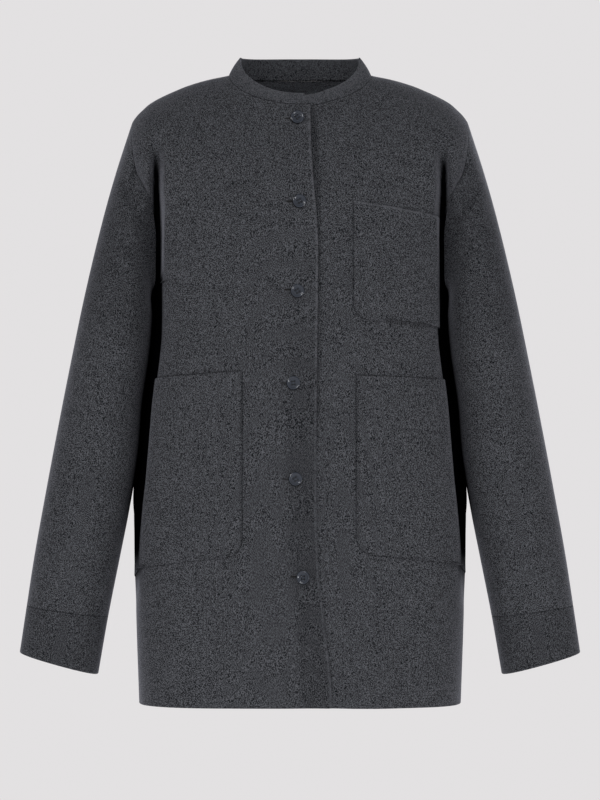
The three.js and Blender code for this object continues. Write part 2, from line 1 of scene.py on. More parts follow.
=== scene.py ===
# Short wool coat with a band collar, patch pockets and drop shoulders, filled out as if worn.
# Shapes are worked out in millimetres, with -Y the front and +X the wearer's left.
import bpy
import numpy as np
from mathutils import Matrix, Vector


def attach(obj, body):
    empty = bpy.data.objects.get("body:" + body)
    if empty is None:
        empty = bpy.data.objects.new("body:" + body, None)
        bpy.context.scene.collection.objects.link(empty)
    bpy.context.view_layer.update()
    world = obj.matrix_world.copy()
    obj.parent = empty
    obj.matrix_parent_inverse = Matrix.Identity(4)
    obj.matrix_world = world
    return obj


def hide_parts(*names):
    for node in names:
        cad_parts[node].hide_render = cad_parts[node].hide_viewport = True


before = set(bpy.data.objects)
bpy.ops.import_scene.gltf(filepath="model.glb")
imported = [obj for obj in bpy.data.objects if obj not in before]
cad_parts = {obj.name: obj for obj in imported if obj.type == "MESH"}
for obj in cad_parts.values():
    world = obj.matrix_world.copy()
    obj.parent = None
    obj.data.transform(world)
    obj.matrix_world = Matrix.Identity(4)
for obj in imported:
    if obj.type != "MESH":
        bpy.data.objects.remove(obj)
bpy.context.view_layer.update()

# ---------------------------------------------------------------------------------------------
# Fronts: two panels of charcoal melange double-faced wool, felted and softly napped, 2.4 mm thick.
# The right one laps over the left one down to a hand-finished edge, and both hang from the
# shoulder seam and the neckline, with soft folds where the sleeves push against them.
# ---------------------------------------------------------------------------------------------
CLOTH = 2.4
HEM_Z, UNDERARM_Z = -735, -245
NECK_HALF, TIP_X = 84, 199
FRONT_SQUARENESS, BACK_SQUARENESS = 3.4, 2.8
TURN_OVER = {"front": (200, 95), "back": (60, 85)}     # fall at the neck and at the tip
NECK_DROP = {"front": 38.5, "back": 1.5}
NECK_CURVE = 1.1
SIDE_RIDGE_HALF = 45
TUCK_AT, TUCK_HALF, SWING_AT, SWING_HALF = 42, 42, 40, 40
GROOVE_X, GROOVE_HALF, BACK_GROOVE = 166.5, 10, 0.5
UNDER_EDGE_X = -25
LAP_SET, LAP_START, LAP_LENGTH = 3.1, 1.5, 27
LOW_ROWS, HIGH_ROWS = 104, 84
FRONT_NECK_COLUMNS, FRONT_SHOULDER_COLUMNS = 63, 49
TOP_BLEND_START = 0.2

# Sections: half width, how far the side seam stands out from it, depth before and behind the side
# seams, tuck behind the front corner, swing of the back behind the arm, groove beside the arm
TRUNK = {
    "z": [-735, -629, -610, -575, -540, -505, -475, -434, -381, -322, -300,
          -257, -245, -215, -190, -165, -150, -117, -95, -72, -58, 12],
    "half": [189, 192.5, 193.5, 194.5, 193.5, 191.5, 188.5, 185, 180.5, 172.5, 170.8,
             170.9, 171.6, 173, 174.5, 177.5, 180, 195, 205, 212, 216, 222],
    "side": [0, 0, 0, 0.5, 2, 4, 2, 0, 0, 0, 0, 0, 0, 0, 0, 0, 0, 0, 0, 0, 0, 0],
    "front": [128, 130, 130, 130, 130, 129, 128.5, 128, 127, 124.8, 124,
              122.6, 122.2, 121, 120, 119, 118, 118, 117, 116, 116, 114],
    "back": [122, 121, 120.5, 119.5, 118, 117, 116, 114, 112, 110.5, 110,
             109.2, 109, 108, 108, 107, 107, 106, 105, 105, 105, 104],
    "tuck": [0, 0, 2, 5, 9, 14, 16, 17, 17, 12, 10, 6.5, 4, 3, 3, 1, 0, 0, 0, 0, 0, 0],
    "swing": [0, 0, 0, 0, 0, 8, 11, 10, 10, 10.5, 11, 11.5, 7, 2, 0, 0, 0, 0, 0, 0, 0, 0],
    "groove": [0, 0, 0, 0, 0, 0, 0, 0, 0, 0, 0, 3, 8, 22, 32, 36, 36, 30, 12, 0, 0, 0],
}
SHOULDER = {
    "x": [0, 60, 84, 108, 132, 150, 165, 177, 185, 192, 197, 199],
    "z": [12, 8, 1.5, -3.5, -10.6, -18, -25, -32, -39, -46, -53, -58],
}
ARMHOLE = {
    "z": [-245, -215, -190, -165, -150, -133, -117, -95, -75, -58],
    "x": [171.6, 171.6, 171.5, 172, 174, 181, 190, 194.8, 197, 199],
}
LAP_EDGE = {
    "z": [-735, -692, -657, -625, -588, -542, -450, -312, -200, -104, -56, -37],
    "x": [36.5, 33.9, 29.3, 25.9, 21.3, 19, 17.8, 19, 19.7, 17.9, 15.6, 11],
}
# Soft flutes that grow towards the hem: angle round the trunk, half width, rise, height of the start
FLUTES = {
    "angle": [4, 24, -38, 122, 147, 176, -152, -126],
    "half": [11, 12, 14, 15, 14, 17, 14, 15],
    "rise": [-4, 5, 3, 7, -7, 8, -8, 7],
    "from": [-540, -560, -590, -430, -400, -380, -420, -450],
}


def bell(distance):
    """1 at the middle, falling along half a cosine wave to 0 at a distance of 1."""
    return np.where(np.abs(distance) < 1, 0.5 + 0.5 * np.cos(np.pi * np.clip(distance, -1, 1)), 0)


def ease(share):
    """From 0 to 1 with level ends: 3 s squared less 2 s cubed."""
    s = np.clip(share, 0, 1)
    return s * s * (3 - 2 * s)


def mix(a, b, share):
    """a where share is 0, b where it is 1, straight between."""
    return a + (b - a) * share


def along(table, key, column, at):
    """Smooth curve through one column of a table: a cubic between each two entries, whose slope at
    an entry is that of the line between its neighbours. Flat beyond the ends."""
    x, y = (np.asarray(table[name], float) for name in (key, column))
    slope = np.gradient(y)
    slope[1:-1] = (y[2:] - y[:-2]) / (x[2:] - x[:-2])
    slope[0], slope[-1] = (y[1] - y[0]) / (x[1] - x[0]), (y[-1] - y[-2]) / (x[-1] - x[-2])
    at = np.clip(at, x[0], x[-1])
    i = np.clip(np.searchsorted(x, at, side="right") - 1, 0, len(x) - 2)
    step, rise = x[i + 1] - x[i], y[i + 1] - y[i]
    s = (at - x[i]) / step
    bend = (1 - s) * (slope[i] * step - rise) - s * (slope[i + 1] * step - rise)
    return y[i] + s * rise + s * (1 - s) * bend


def trunk_point(angle, z):
    """Outer face of the trunk at an angle (0 mid front, 90 wearer's left side, 180 mid back) and
    height: a superellipse section, pulled in over the shoulder along a quarter circle, less the
    groove beside the arm and the tuck behind the front's corner, with the back swung out behind
    the arm and a ridge along the side seam, and swollen by the hem's flutes."""
    angle, z = np.broadcast_arrays(np.asarray(angle, float), np.asarray(z, float))
    front = np.abs(angle) <= 90
    power = np.where(front, FRONT_SQUARENESS, BACK_SQUARENESS)
    across, ahead = np.abs(np.sin(np.radians(angle))), np.abs(np.cos(np.radians(angle)))
    size = (across ** power + ahead ** power) ** (1 / power)
    x = along(TRUNK, "z", "half", z) * across / size
    near_tip = ease((x - NECK_HALF) / (TIP_X - NECK_HALF))
    turn = np.where(front, mix(*TURN_OVER["front"], near_tip), mix(*TURN_OVER["back"], near_tip))
    fall = np.clip((along(SHOULDER, "x", "z", x) - z) / turn, 0, 1)
    depth = np.where(front, along(TRUNK, "z", "front", z), along(TRUNK, "z", "back", z))
    reach = depth * ahead / size * np.sqrt(1 - (1 - fall) ** 2)
    groove = along(TRUNK, "z", "groove", z) * np.where(front, 1, BACK_GROOVE)
    reach = reach - groove * bell((x - GROOVE_X) / GROOVE_HALF)
    x = x + along(TRUNK, "z", "side", z) * bell(reach / SIDE_RIDGE_HALF)
    tuck = along(TRUNK, "z", "tuck", z) * bell((reach - TUCK_AT) / TUCK_HALF)
    x = x + np.where(front, -tuck, along(TRUNK, "z", "swing", z) * bell((reach - SWING_AT) / SWING_HALF))
    swell = np.ones_like(x)
    for middle, half, rise, start in zip(*FLUTES.values()):
        away = (angle - middle + 180) % 360 - 180
        swell = swell + rise * ease((start - z) / (start - HEM_Z)) * bell(away / half) / np.hypot(x, reach)
    side = np.sign(np.sin(np.radians(angle)))
    return np.stack([side * x * swell, np.where(front, -reach, reach) * swell, z], axis=-1)


def angle_at(x, z, power):
    """Angle round the trunk of a point x from the middle at height z: the superellipse solved for
    it."""
    share = np.clip(np.abs(x) / along(TRUNK, "z", "half", z), 0, 1)
    return np.sign(x) * np.degrees(np.arctan2(share, (1 - share ** power) ** (1 / power)))


def neckline_z(turn):
    """Height of the neckline seam: the neck point's, less the drop times a power of the cosine."""
    ahead = np.cos(np.radians(turn))
    drop = np.where(ahead > 0, NECK_DROP["front"], NECK_DROP["back"])
    return along(SHOULDER, "x", "z", NECK_HALF) - drop * np.abs(ahead) ** NECK_CURVE


def half_panel(side, is_front, edge_x, first_turn, neck_columns, shoulder_columns):
    """Half a panel as rows of points from the hem to the shoulder seam, and columns from its middle
    edge to the side seam and armhole. Columns lie at even angles below, and blend towards the top
    into points spread along the neckline and then along the shoulder."""
    power = FRONT_SQUARENESS if is_front else BACK_SQUARENESS
    columns = neck_columns + shoulder_columns
    column = np.arange(columns + 1)[None, :]
    row = np.arange(LOW_ROWS + HIGH_ROWS + 1)[:, None]
    crown = np.clip(column / neck_columns, 0, 1)
    tip = np.clip((column - neck_columns) / shoulder_columns, 0, 1)
    turn = mix(first_turn, 90, crown)
    on_shoulder = mix(NECK_HALF, TIP_X, np.sin(tip * np.pi / 2))
    top_x = np.where(tip > 0, on_shoulder, NECK_HALF * np.sin(np.radians(turn)))
    top_z = np.where(tip > 0, along(SHOULDER, "x", "z", top_x), neckline_z(turn))
    q = np.clip((row - LOW_ROWS) / HIGH_ROWS, 0, 1)
    crowned = mix(q, np.sin(q * np.pi / 2), crown)
    share = mix(crowned, (1 - np.cos(q * np.pi)) / 2, tip ** 2)
    z = np.where(row <= LOW_ROWS, mix(HEM_Z, UNDERARM_Z, row / LOW_ROWS), mix(UNDERARM_Z, top_z, share))
    side_angle = np.where(z <= UNDERARM_Z, 90, angle_at(along(ARMHOLE, "z", "x", z), z, power))
    even = mix(angle_at(edge_x(z), z, power), side_angle, column / columns)
    to_top = ease((q - TOP_BLEND_START) / (1 - TOP_BLEND_START)) * (column < columns)
    angle = mix(even, angle_at(top_x, top_z, power), to_top)
    return trunk_point(side * (angle if is_front else 180 - angle), z)


def unit(vectors):
    """The vectors brought to a length of 1."""
    return vectors / (np.linalg.norm(vectors, axis=-1, keepdims=True) + 1e-9)


def outward(grid, around=False):
    """Unit normals of a grid of points, away from the middle of its rows: the cross product of the
    steps to the neighbours up and along."""
    ring = np.concatenate([grid[:, -1:], grid, grid[:, :1]], axis=1) if around else grid
    up = np.gradient(ring, axis=0)
    on = np.gradient(ring, axis=1)
    normal = np.cross(on, up)
    normal = unit(normal[:, 1:-1] if around else normal)
    centre = grid.mean(axis=1, keepdims=True) if around else grid * [0, 0, 1]
    return normal * (1 if (normal * (grid - centre)).sum() > 0 else -1)


def grid_faces(index):
    """Quads of a grid of vertex numbers, one for each cell."""
    return np.stack([index[:-1, :-1], index[:-1, 1:], index[1:, 1:], index[1:, :-1]], axis=-1).reshape(-1, 4)


def mesh_piece(name, points, faces, material, **values):
    """New object at the origin from points in millimetres and a list of face arrays, with point
    values by name. Faces are turned to face out if the signed volume inside them is negative."""
    volume = 0
    for part in faces:
        corners = points[part]
        for k in range(1, part.shape[1] - 1):
            volume += np.einsum("fi,fi->", corners[:, 0], np.cross(corners[:, k], corners[:, k + 1]))
    turned = [face for part in faces for face in (part if volume > 0 else part[:, ::-1]).tolist()]
    mesh = bpy.data.meshes.new(name)
    mesh.from_pydata(points * 0.001, [], turned)
    mesh.polygons.foreach_set("use_smooth", np.ones(len(turned), bool))
    for key, value in values.items():
        mesh.attributes.new(key, "FLOAT", "POINT").data.foreach_set("value", value.astype(np.float32))
    mesh.materials.append(material)
    mesh.update()
    piece = bpy.data.objects.new(name, mesh)
    bpy.context.scene.collection.objects.link(piece)
    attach(piece, "root")
    return piece


def seams(shape, first_row=0.0, last_row=0.0, first_column=0.0, last_column=0.0):
    """How dark painted shade makes the rims of a grid where they are sewn, from 0 to 1 for each side; a sewn
    side of cloth that isn't laid on another piece is also pulled in.
    """
    pulled = np.zeros(shape[:2])
    pulled[:, 0], pulled[:, -1] = first_column, last_column
    pulled[0] = np.maximum(pulled[0], first_row)
    pulled[-1] = np.maximum(pulled[-1], last_row)
    return pulled


RIM_STEPS = 5
SEAM_REACH, SEAM_REST = 8.0, 0.35      # how far in a seam pulls, and how much of the rim stays out
INSIDE_SHADE, NO_EDGE = 0.3, 99.0      # painted shade on the inner face of the cloth, and edge_mm where no edge is near


def draw_in(grid, sewn, around, step):
    """Grid whose sewn sides are drawn in, so that the rims of two pieces meet in a groove: points
    move away from the side by a step at it, easing to nothing SEAM_REACH millimetres in."""
    moved = grid.copy()
    for axis in (0,) if around else (0, 1):
        for end, beside in ((0, 1), (-1, -2)):
            if np.median(np.take(sewn, end, axis=axis)) == 0:
                continue
            rim = np.take(grid, [end], axis=axis)
            way = unit(rim - np.take(grid, [beside], axis=axis))
            off = np.linalg.norm(grid - rim, axis=-1, keepdims=True)
            moved -= way * step * (1 - ease(off / SEAM_REACH))
    return moved


def cloth_wall(name, grid, thickness, material, around=False, edge=None, deep=None, sewn=None,
               laid=False):
    """Closed cloth of even thickness: the outer grid, the same grid moved in, and half-round rims along the
    free edges, each a half circle from the outer face to the inner one. The value edge is the distance in
    millimetres from a finished edge, the shade value is how dark painted shade makes a point, from 0 to 1,
    and sewn also paints shade on the rims at the seams. Cloth that isn't laid on another piece is drawn in
    at its seams."""
    if sewn is not None and not laid:
        grid = draw_in(grid, sewn, around, thickness / 2 - SEAM_REST)
    normal = outward(grid, around)
    high, wide = grid.shape[:2]
    inner = grid - normal * thickness
    number = np.arange(high * wide).reshape(high, wide)
    out_on = -np.gradient(grid, axis=0)[0], np.gradient(grid, axis=0)[-1]
    if around:
        loops = [number[0], number[-1][::-1]]
        ways = [out_on[0], out_on[1][::-1]]
    else:
        side_first, side_last = -np.gradient(grid, axis=1)[:, 0], np.gradient(grid, axis=1)[:, -1]
        way = np.zeros_like(grid)
        way[0] += unit(out_on[0])
        way[-1] += unit(out_on[1])
        way[:, 0] += unit(side_first)
        way[:, -1] += unit(side_last)
        loop = np.concatenate([number[0], number[1:, -1], number[-1, -2::-1], number[-2:0:-1, 0]])
        loops, ways = [loop], [way.reshape(-1, 3)[loop]]
    flat, flat_normal = grid.reshape(-1, 3), normal.reshape(-1, 3)
    points = [flat, inner.reshape(-1, 3)]
    shown = np.concatenate([number, number[:, :1]], axis=1) if around else number
    count = high * wide
    faces = [grid_faces(shown), grid_faces(shown[:, ::-1] + count)]
    owner = [np.arange(count), np.arange(count)]
    start = 2 * count
    half = thickness / 2
    for loop, way in zip(loops, ways):
        up = flat_normal[loop]
        way = unit(way - (way * up).sum(axis=1, keepdims=True) * up)
        turns = np.pi * np.arange(1, RIM_STEPS)[::-1, None, None] / RIM_STEPS
        rim = flat[loop] - half * up + half * (np.cos(turns) * up + np.sin(turns) * way)
        middle = start + np.arange(rim.shape[0] * len(loop)).reshape(rim.shape[0], len(loop))
        index = np.concatenate([loop[None] + count, middle, loop[None]])
        faces.append(grid_faces(np.concatenate([index, index[:, :1]], axis=1)))
        points.append(rim.reshape(-1, 3))
        owner.append(np.tile(loop, rim.shape[0]))
        start += rim.shape[0] * len(loop)
    owner = np.concatenate(owner)
    edge = np.full(count, NO_EDGE) if edge is None else edge.reshape(-1)
    deep = (np.zeros(count) if deep is None else deep.reshape(-1))[owner]
    # The inner face gets painted shade, at least INSIDE_SHADE.
    deep[count:2 * count] = np.maximum(deep[count:2 * count], INSIDE_SHADE)
    # The rims at the seams get painted shade as dark as their seam values.
    if sewn is not None:
        deep[2 * count:] = np.maximum(deep[2 * count:], sewn.reshape(-1)[owner[2 * count:]])
    return mesh_piece(name, np.concatenate(points), faces, material, edge_mm=edge[owner], deep=deep)


# Creases of the fronts and back: ends seen from the front (x outwards, z), half width, depth
# (a trough is negative) and what share of it shows at each end
FRONT_CREASES = [
    # x1, z1, x2, z2, half, depth
    (152, -95, 122, -200, 24, -3.4),
    (158, -150, 128, -245, 17, -2.0),
    (120, -60, 60, -95, 34, 2.0),
    (40, -395, 95, -372, 12, -1.6),
    (10, -378, 34, -384, 7, -1.6),
    (90, -290, 40, -335, 18, -1.6),
    (150, -600, 60, -625, 22, 2.0),
    (150, -330, 60, -318, 20, 1.0),
    (60, -640, 96, -735, 26, 2.4),
    (120, -610, 138, -735, 24, -2.2),
    (30, -470, 22, -560, 14, -1.0),
]
BACK_CREASES = [
    (150, -100, 112, -215, 24, -4.0),
    (158, -160, 120, -265, 18, -3.0),
    (100, -50, 40, -80, 36, 2.4),
    (30, -120, 38, -280, 26, 2.6),
    (64, -180, 76, -330, 24, -2.6),
    (60, -300, 130, -335, 20, -2.2),
    (20, -420, 90, -392, 18, -2.0),
    (130, -430, 60, -462, 20, 1.8),
    (84, -540, 96, -735, 28, -5.0),
]


def fold_height(points, creases):
    """Sum of soft troughs and ridges: each is a bell across the line between its two ends, seen
    from the front or back, and swells and fades along it as half a sine wave."""
    x, z = np.abs(points[..., 0]), points[..., 2]
    height = np.zeros_like(x)
    for x1, z1, x2, z2, half, depth in creases:
        length = np.hypot(x2 - x1, z2 - z1)
        on = ((x - x1) * (x2 - x1) + (z - z1) * (z2 - z1)) / length ** 2
        off = ((x - x1) * (z2 - z1) - (z - z1) * (x2 - x1)) / length
        height += depth * bell(off / half) * ease(on * 2.5 + 0.5) * ease((1 - on) * 2.5 + 0.5)
    return height


def lap_set(points):
    """How far the left front is set in so that the right one lies over it, easing to nothing past
    the lap's edge."""
    beyond = points[..., 0] - along(LAP_EDGE, "z", "x", points[..., 2])
    return LAP_SET * (1 - ease((beyond - LAP_START) / LAP_LENGTH))


def lap_x(z):
    """Distance of the lap's edge from the middle, counted towards the wearer's right."""
    return -along(LAP_EDGE, "z", "x", z)


def under_edge_x(z):
    """Distance of the left front's under edge from the middle, the same at every height."""
    return np.full_like(z, UNDER_EDGE_X)


def edge_turn(x):
    """Turn round the neckline of a point x from the middle: the angle whose sine is x over the half
    width."""
    return np.degrees(np.arcsin(x / NECK_HALF))


CREASE_FADE = 10


def relief(grid, creases, first_sewn):
    """The grid moved out by its creases, fading to nothing over the last rows and columns, and over
    the first columns where those are sewn too, so that the pieces still meet."""
    high, wide = grid.shape[:2]
    column = np.arange(wide)[None, :]
    row = np.arange(high)[:, None]
    hold = ease((wide - 1 - column) / CREASE_FADE) * ease((high - 1 - row) / CREASE_FADE)
    if first_sewn:
        hold = hold * ease(column / CREASE_FADE)
    return grid + outward(grid) * (fold_height(grid, creases) * hold)[..., None]


def dark_where_deep(material, shader, colour):
    """Joins a shader to the material's output so that it goes over to a plain dark one, painted shade, as
    the point value of painted shade rises from 0 to 1."""
    nodes, links = material.node_tree.nodes, material.node_tree.links
    kinds = "Attribute", "BsdfDiffuse", "MixShader"
    shade_amount, painted_dark, blend = (nodes.new("ShaderNode" + kind) for kind in kinds)
    shade_amount.attribute_name = "deep"
    painted_dark.inputs["Color"].default_value = colour
    links.new(shade_amount.outputs["Fac"], blend.inputs["Fac"])
    links.new(shader.outputs["BSDF"], blend.inputs[1])
    links.new(painted_dark.outputs["BSDF"], blend.inputs[2])
    links.new(blend.outputs["Shader"], nodes["Material Output"].inputs["Surface"])


# How near a finished edge the wool begins to pale, and how much: loose fibres and a painted highlight where
# the rounded edge catches the light.
EDGE_FUZZ_AND_HIGHLIGHT, EDGE_PALE = 2.6, 0.65


def wool_cloth(name, light, dark, sheen):
    """Felted melange wool: pale and dark fibres mixed at the size of single flecks, slightly longer down the
    cloth, over slow patches of tone, with a nap that the fine bump follows. It is paler along the finished
    edges, partly from loose fibres and partly as a painted highlight where the rounded edge catches the
    light, and painted shade takes it nearly black in the groove beside the arm and wherever else its shade
    value rises."""
    material = bpy.data.materials.new(name)
    material.use_nodes = True
    nodes, links = material.node_tree.nodes, material.node_tree.links
    shader = nodes["Principled BSDF"]
    shader.inputs["Roughness"].default_value = 0.94
    shader.inputs["Specular IOR Level"].default_value = 0.15
    shader.inputs["Sheen Weight"].default_value = sheen
    shader.inputs["Sheen Roughness"].default_value = 0.4
    shader.inputs["Sheen Tint"].default_value = (0.85, 0.87, 1.0, 1)
    place = nodes.new("ShaderNodeTexCoord")
    fleck = nodes.new("ShaderNodeGroup")
    fleck.node_tree = fleck_group
    links.new(place.outputs["Object"], fleck.inputs["Place"])
    shade = nodes.new("ShaderNodeMix")
    shade.data_type = "RGBA"
    shade.inputs["A"].default_value = dark
    shade.inputs["B"].default_value = light
    # Paler near finished edges, unevenly: loose fibres and a painted highlight.
    fibres = nodes.new("ShaderNodeAttribute")
    fibres.attribute_name = "edge_mm"
    near_edge = nodes.new("ShaderNodeMapRange")
    near_edge.interpolation_type = "SMOOTHSTEP"
    near_edge.inputs["From Min"].default_value = EDGE_FUZZ_AND_HIGHLIGHT
    near_edge.inputs["From Max"].default_value = 0.8
    near_edge.inputs["To Max"].default_value = EDGE_PALE
    links.new(fibres.outputs["Fac"], near_edge.inputs["Value"])
    uneven = nodes.new("ShaderNodeMath")
    uneven.operation = "MULTIPLY"
    links.new(near_edge.outputs["Result"], uneven.inputs[0])
    links.new(fleck.outputs["Tuft"], uneven.inputs[1])
    lifted = nodes.new("ShaderNodeMath")
    lifted.use_clamp = True
    links.new(fleck.outputs["Shade"], lifted.inputs[0])
    links.new(uneven.outputs["Value"], lifted.inputs[1])
    links.new(lifted.outputs["Value"], shade.inputs["Factor"])
    links.new(shade.outputs["Result"], shader.inputs["Base Color"])
    # Painted shade: the wool goes nearly black as its shade value rises.
    dark_where_deep(material, shader, (0.0012, 0.0012, 0.0016, 1))
    bump = nodes.new("ShaderNodeBump")
    bump.inputs["Strength"].default_value = 0.6
    bump.inputs["Distance"].default_value = 0.0006
    links.new(fleck.outputs["Height"], bump.inputs["Height"])
    links.new(bump.outputs["Normal"], shader.inputs["Normal"])
    return material


def make_fleck_group():
    """Node group: Shade, from 0 to 1, and Height of the nap, from a noise stretched down the cloth,
    with slow patches and faint level streaks in the shade, and Tuft, patches a few millimetres long
    where loose fibres stand out."""
    group = bpy.data.node_groups.new("wool_fleck", "ShaderNodeTree")
    group.interface.new_socket("Place", in_out="INPUT", socket_type="NodeSocketVector")
    group.interface.new_socket("Shade", in_out="OUTPUT", socket_type="NodeSocketFloat")
    group.interface.new_socket("Height", in_out="OUTPUT", socket_type="NodeSocketFloat")
    group.interface.new_socket("Tuft", in_out="OUTPUT", socket_type="NodeSocketFloat")
    nodes, links = group.nodes, group.links
    start, end = nodes.new("NodeGroupInput"), nodes.new("NodeGroupOutput")
    stretch = nodes.new("ShaderNodeMapping")
    stretch.inputs["Scale"].default_value = (1, 0.5, 0.6)
    links.new(start.outputs["Place"], stretch.inputs["Vector"])

    def noise(scale, detail, roughness, vector):
        node = nodes.new("ShaderNodeTexNoise")
        node.inputs["Scale"].default_value = scale
        node.inputs["Detail"].default_value = detail
        node.inputs["Roughness"].default_value = roughness
        links.new(vector, node.inputs["Vector"])
        return node.outputs["Fac"]

    def maths(operation, a, b):
        node = nodes.new("ShaderNodeMath")
        node.operation = operation
        for socket, value in zip(node.inputs, (a, b)):
            if isinstance(value, (int, float)):
                socket.default_value = value
            else:
                links.new(value, socket)
        return node.outputs[0]

    level = nodes.new("ShaderNodeMapping")
    level.inputs["Scale"].default_value = (0.12, 0.12, 1)
    links.new(start.outputs["Place"], level.inputs["Vector"])
    single = noise(1450, 2, 0.5, stretch.outputs["Vector"])
    patch = noise(38, 3, 0.6, start.outputs["Place"])
    streak = noise(330, 2, 0.5, level.outputs["Vector"])
    contrast = nodes.new("ShaderNodeMapRange")
    contrast.inputs["From Min"].default_value = 0.468
    contrast.inputs["From Max"].default_value = 0.552
    links.new(single, contrast.inputs["Value"])
    slow = maths("MULTIPLY", maths("SUBTRACT", maths("ADD", patch, streak), 1.0), 0.22)
    links.new(maths("ADD", contrast.outputs["Result"], slow), end.inputs["Shade"])
    links.new(single, end.inputs["Height"])
    tuft = nodes.new("ShaderNodeMapRange")
    tuft.inputs["From Min"].default_value = 0.36
    tuft.inputs["From Max"].default_value = 0.62
    links.new(noise(210, 3, 0.7, start.outputs["Place"]), tuft.inputs["Value"])
    links.new(tuft.outputs["Result"], end.inputs["Tuft"])
    return group


fleck_group = make_fleck_group()
wool = wool_cloth("charcoal_wool", (0.121, 0.1265, 0.141, 1), (0.004, 0.0045, 0.006, 1), 0.28)

FRONT_COLUMNS = FRONT_NECK_COLUMNS, FRONT_SHOULDER_COLUMNS
right_front = half_panel(-1, True, lap_x, edge_turn(lap_x(neckline_z(0))), *FRONT_COLUMNS)
left_front = half_panel(1, True, under_edge_x, edge_turn(UNDER_EDGE_X), *FRONT_COLUMNS)
right_front = relief(right_front, FRONT_CREASES, False)
left_front = relief(left_front, FRONT_CREASES, False)
left_front = left_front - outward(left_front) * lap_set(left_front)[..., None]


def from_first_column(grid):
    """Distance of each point from the first one in its row, straight across."""
    return np.linalg.norm(grid - grid[:, :1], axis=-1)


def arm_fold_painted_shade(grid):
    """Painted shade in the groove between the body and the arm: how dark a point is painted, from 0 to 1.
    Low down it rises behind the front's corner, over the heights where the arm closes the gap. High up it is
    a bell across the groove beside the arm, which widens from the shoulder to the underarm."""
    x, y, z = np.abs(grid[..., 0]), grid[..., 1], grid[..., 2]
    low = ease((y + 84) / 16) * ease((z + 615) / 60) * ease((-222 - z) / 20)
    in_groove = bell((x - 167.6) / mix(5, 9.5, ease((-100 - z) / 140)))
    high = 1.5 * in_groove * ease((z + 290) / 30) * ease((-88 - z) / 40)
    return np.clip(np.maximum(low, 1.35 * high), 0, 1) * (y < 45)


# Painted shadow of the lap on the left front, and its width past the lap's edge; then the width of a strip
# along the right front's edge, and how much darker it is made.
LAP_SHADE, LAP_SHADE_WIDTH, LAP_STRIP, LAP_STRIP_SHADE = 0.4, 8, 24, 0.24
# Width and length of the flat piece, and its area as cut
FRONT_FLAT = {"front_right": (0.305, 0.80, 0.205), "front_left": (0.30, 0.80, 0.2)}
for name, grid in (("front_right", right_front), ("front_left", left_front)):
    # Painted shade in the groove beside the arm.
    deep = arm_fold_painted_shade(grid)
    if name == "front_left":
        past_lap = grid[..., 0] - along(LAP_EDGE, "z", "x", grid[..., 2])
        # Painted shadow that the lap casts on the left front just past its edge, fading out lower down.
        shade = LAP_SHADE * ease((grid[..., 2] + 470) / 90)
        deep = np.maximum(deep, shade * (1 - ease(past_lap / LAP_SHADE_WIDTH)))
    else:
        # The right front is made darker along a strip by its edge, more towards the hem.
        shade = LAP_STRIP_SHADE * ease((-180 - grid[..., 2]) / 260)
        deep = np.maximum(deep, shade * (1 - ease((from_first_column(grid) - LAP_STRIP) / 16)))
    sewn = seams(grid.shape, last_row=0.5, last_column=0.25)
    # Distance from the front edge, along which the wool is paler: loose fibres and a painted highlight.
    edge = from_first_column(grid)
    piece = cloth_wall("cloth_" + name, grid, CLOTH, wool, edge=edge, deep=deep, sewn=sewn)
    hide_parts(name)
    width, length, area = FRONT_FLAT[name]

# ---------------------------------------------------------------------------------------------
# Back: one panel of the same wool, from side seam to side seam, hanging from the shoulder seams
# and the back neckline. It falls in soft flutes towards the hem.
# ---------------------------------------------------------------------------------------------
BACK_NECK_HALF_COLUMNS, BACK_SHOULDER_COLUMNS = 42, 49
right_half, left_half = (
    half_panel(side, False, np.zeros_like, 180, BACK_NECK_HALF_COLUMNS, BACK_SHOULDER_COLUMNS)
    for side in (-1, 1)
)
back = np.concatenate([right_half[:, :0:-1], left_half], axis=1)
back = relief(back, BACK_CREASES, True)
# Painted shade in the groove beside the arm.
deep = arm_fold_painted_shade(back) * (back[..., 1] < 30)
sewn = seams(back.shape, last_row=0.5, first_column=0.25, last_column=0.25)
piece = cloth_wall("cloth_back", back, CLOTH, wool, deep=deep, sewn=sewn)
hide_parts("back")

# ---------------------------------------------------------------------------------------------
# Sleeves: each one tube of the same wool with a seam under the arm, sewn to the armhole low on the
# drop shoulder. The cloth drags softly from the shoulder towards the elbow and down to the cuff.
# ---------------------------------------------------------------------------------------------
SLEEVE_ROUNDNESS = 2.3
SLEEVE_RINGS, SLEEVE_FADE, SLEEVE_CROWDING = 150, 0.18, 1.3
# Painted shade on the upper sleeve, below the shoulder.
ARM_SHADE = 0.16
# From the armhole (t 0) to the cuff seam (t 1) and the cuff's end (t 1.1)
SLEEVE = {
    "t": [0, 0.1, 0.2, 0.35, 0.5, 0.65, 0.8, 0.9, 1, 1.1],
    "out_x": [199, 217, 233, 253, 270.5, 287, 302.5, 312.5, 321, 329],
    "out_z": [-58, -114, -171, -255, -340, -425, -509, -566, -622, -676],
    "in_x": [171.6, 175, 173.4, 177, 185, 190.2, 202, 213.5, 225.5, 237],
    "in_z": [-245, -259, -285, -330, -385, -446, -516, -574, -635, -701.5],
    "depth": [62, 68, 70, 68, 64, 60, 56, 54, 52, 50],
    "forward": [0, 0, 0, 3, 6, 9.5, 13, 15, 17, 19],
}
